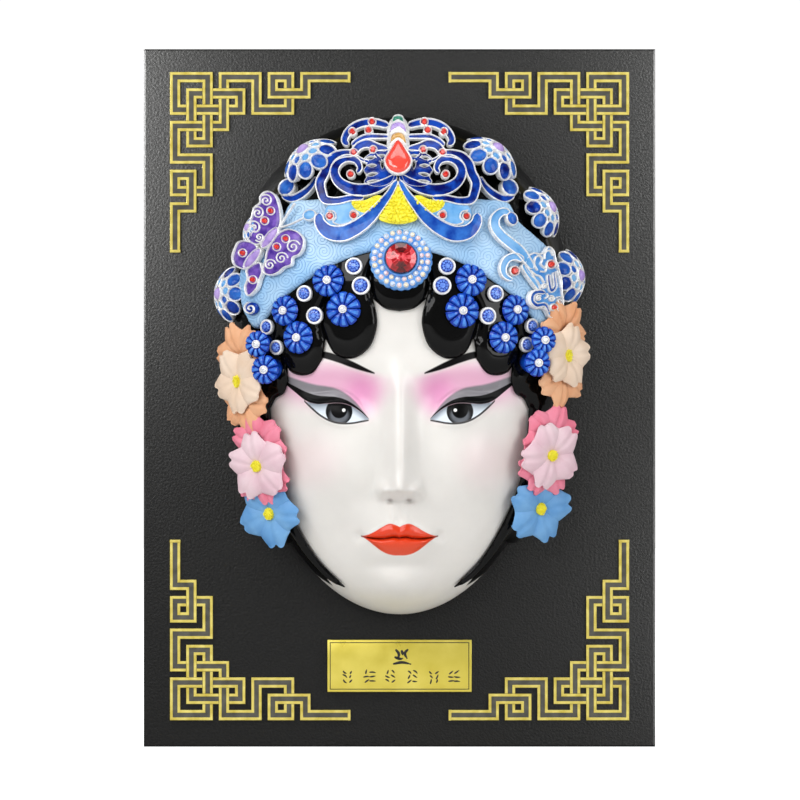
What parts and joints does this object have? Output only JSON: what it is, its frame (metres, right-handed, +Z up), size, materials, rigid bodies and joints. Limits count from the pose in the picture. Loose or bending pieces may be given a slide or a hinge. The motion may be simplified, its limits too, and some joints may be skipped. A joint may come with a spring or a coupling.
{
  "type": "chinese opera mask wall plaque",
  "caption": "Opera heroine's face mask in relief with a blue jewelled headdress and side flowers, on a black board with gold fretwork corners and a plain-marked nameplate.",
  "frame": {"origin": "centre of the board's flat back face, which lies on the wall", "axes": "+Z up along the board's height, -Y out of the wall towards the viewer, +X to the viewer's right"},
  "size_m": [0.22, 0.0689, 0.3],
  "materials": {
    "black_board": "charcoal black lacquer with a fine pebbled grain",
    "gold_fret": "thin bright gold lines with a grey brown core",
    "gold_plate": "satin gold sheet",
    "porcelain_face": "glossy porcelain white with painted make-up",
    "black_hair": "piano black gloss",
    "blue_daisy": "royal blue translucent lacquer with dark grooves",
    "blue_crystal": "faceted blue stone in a silver cup",
    "blue_enamel": "royal and navy enamel between raised silver lines",
    "cream_petal": "matte cream with a peach blush",
    "peach_petal": "matte peach",
    "pale_pink_petal": "matte pale pink",
    "rose_petal": "matte rose pink",
    "blue_petal": "matte sky blue",
    "sky_enamel": "light blue enamel with silver lines",
    "red_crystal": "faceted ruby red crystal",
    "sky_band": "light blue with fine engraved cloud scrolls",
    "red_drop": "bright red enamel in a silver rim",
    "purple_enamel": "purple enamel between raised silver lines"
  },
  "bodies": {
    "root": {"backing_board": "black_board", "corner_fret_top_left": "gold_fret", "corner_fret_top_right": "gold_fret", "corner_fret_bottom_right": "gold_fret", "corner_fret_bottom_left": "gold_fret", "nameplate": "gold_plate", "face_shell": "porcelain_face", "hair": "black_hair", "daisy_left_1": "blue_daisy", "stone_left_1": "blue_crystal", "daisy_left_2": "blue_daisy", "stone_left_2": "blue_crystal", "daisy_left_3": "blue_daisy", "stone_left_3": "blue_crystal", "daisy_left_4": "blue_daisy", "stone_left_4": "blue_crystal", "daisy_left_5": "blue_daisy", "stone_left_5": "blue_crystal", "daisy_left_6": "blue_daisy", "stone_left_6": "blue_crystal", "rosette_left_1": "blue_enamel", "rosette_left_2": "blue_enamel", "rosette_left_3": "blue_enamel", "cream_flower_left": "cream_petal", "peach_flower_left": "peach_petal", "pale_pink_flower_left": "pale_pink_petal", "rose_flower_left": "rose_petal", "blue_flower_left": "blue_petal", "daisy_right_1": "blue_daisy", "stone_right_1": "blue_crystal", "daisy_right_2": "blue_daisy", "stone_right_2": "blue_crystal", "daisy_right_3": "blue_daisy", "stone_right_3": "blue_crystal", "daisy_right_4": "blue_daisy", "stone_right_4": "blue_crystal", "daisy_right_5": "blue_daisy", "stone_right_5": "blue_crystal", "daisy_right_6": "blue_daisy", "stone_right_6": "blue_crystal", "rosette_right_1": "blue_enamel", "rosette_right_2": "blue_enamel", "rosette_right_3": "blue_enamel", "cream_flower_right": "cream_petal", "peach_flower_right": "peach_petal", "pale_pink_flower_right": "pale_pink_petal", "rose_flower_right": "rose_petal", "blue_flower_right": "blue_petal", "medallion": "sky_enamel", "medallion_crystal": "red_crystal", "headband": "sky_band", "crown_butterfly": "blue_enamel", "crown_drop_stone": "red_drop", "purple_butterfly": "purple_enamel", "phoenix": "sky_enamel"}
  },
  "joints": []
}
